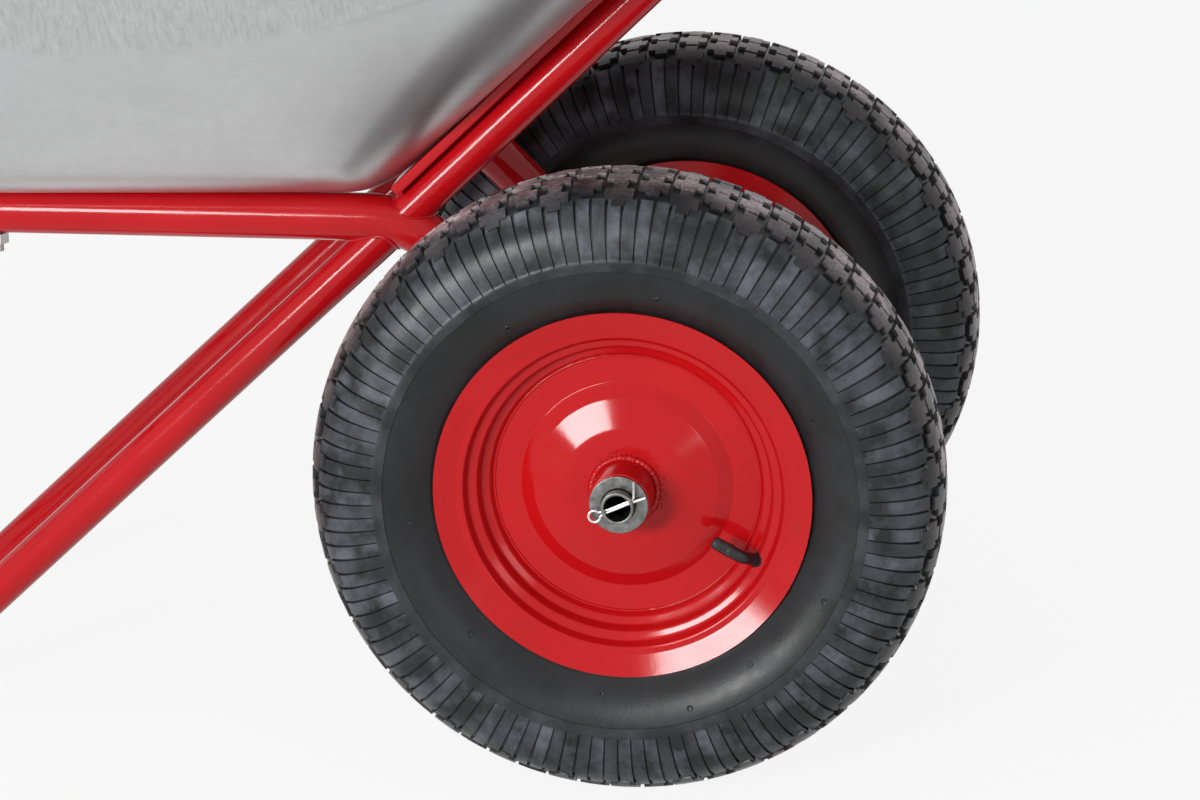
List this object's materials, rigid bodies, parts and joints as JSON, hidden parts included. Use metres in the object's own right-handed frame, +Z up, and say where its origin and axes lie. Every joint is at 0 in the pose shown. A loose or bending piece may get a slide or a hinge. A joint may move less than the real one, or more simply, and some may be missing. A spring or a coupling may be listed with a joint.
{
  "type": "wheelbarrow",
  "caption": "Builder's wheelbarrow: galvanised pressed tub on a red welded tube frame, with a pneumatic wheel on each end of a fixed axle.",
  "frame": {"origin": "on the ground, below the middle of the whole object", "axes": "+X forward to the wheels, +Y to the left of a person pushing the barrow, +Z up"},
  "size_m": [1.4068, 0.6448, 0.6258],
  "materials": {
    "galvanised": "galvanised steel sheet with fine drawing streaks",
    "red_paint": "gloss red paint",
    "wheel_paint": "gloss red paint",
    "plain_steel": "plain steel, dull",
    "zinc_plate": "bright zinc plate",
    "tyre": "moulded rubber with a block tread",
    "tube_rubber": "soft black rubber",
    "cap_plastic": "black plastic",
    "cage_plastic": "natural nylon",
    "grip_plastic": "ribbed black grip"
  },
  "bodies": {
    "frame": {"tub": "galvanised", "rim_wire": "plain_steel", "main_tube_right": "red_paint", "main_tube_left": "red_paint", "grip_right": "grip_plastic", "grip_left": "grip_plastic", "front_hoop": "red_paint", "rest_bar_right": "red_paint", "rest_bar_left": "red_paint", "leg_right": "red_paint", "leg_left": "red_paint", "foot_plate_right": "red_paint", "foot_plate_left": "red_paint", "leg_cross_tube": "red_paint", "rear_cross_tube": "red_paint", "rear_stay_right": "red_paint", "rear_stay_left": "red_paint", "axle": "plain_steel", "axle_collars": "plain_steel", "hub_washers": "plain_steel", "split_pins": "zinc_plate", "tub_bolts": "zinc_plate", "stay_bolts": "zinc_plate", "tub_washers": "zinc_plate", "tub_nuts": "zinc_plate"},
    "wheel_right": {"tyre_right": "tyre", "inner_tube_right": "tube_rubber", "rim_right": "wheel_paint", "outer_disc_right": "wheel_paint", "inner_disc_right": "wheel_paint", "hub_tube_right": "wheel_paint", "bearing_cages_right": "cage_plastic", "bearing_rollers_right": "plain_steel", "valve_stem_right": "tube_rubber", "valve_cap_right": "cap_plastic"},
    "wheel_left": {"tyre_left": "tyre", "inner_tube_left": "tube_rubber", "rim_left": "wheel_paint", "outer_disc_left": "wheel_paint", "inner_disc_left": "wheel_paint", "hub_tube_left": "wheel_paint", "bearing_cages_left": "cage_plastic", "bearing_rollers_left": "plain_steel", "valve_stem_left": "tube_rubber", "valve_cap_left": "cap_plastic"}
  },
  "joints": [
    {"name": "right_wheel_spin", "type": "hinge", "parent": "frame", "child": "wheel_right", "pos_m": [0.5085, -0.19, 0.195], "axis": [0, 1, 0], "continuous": true},
    {"name": "left_wheel_spin", "type": "hinge", "parent": "frame", "child": "wheel_left", "pos_m": [0.5085, 0.19, 0.195], "axis": [0, 1, 0], "continuous": true}
  ]
}
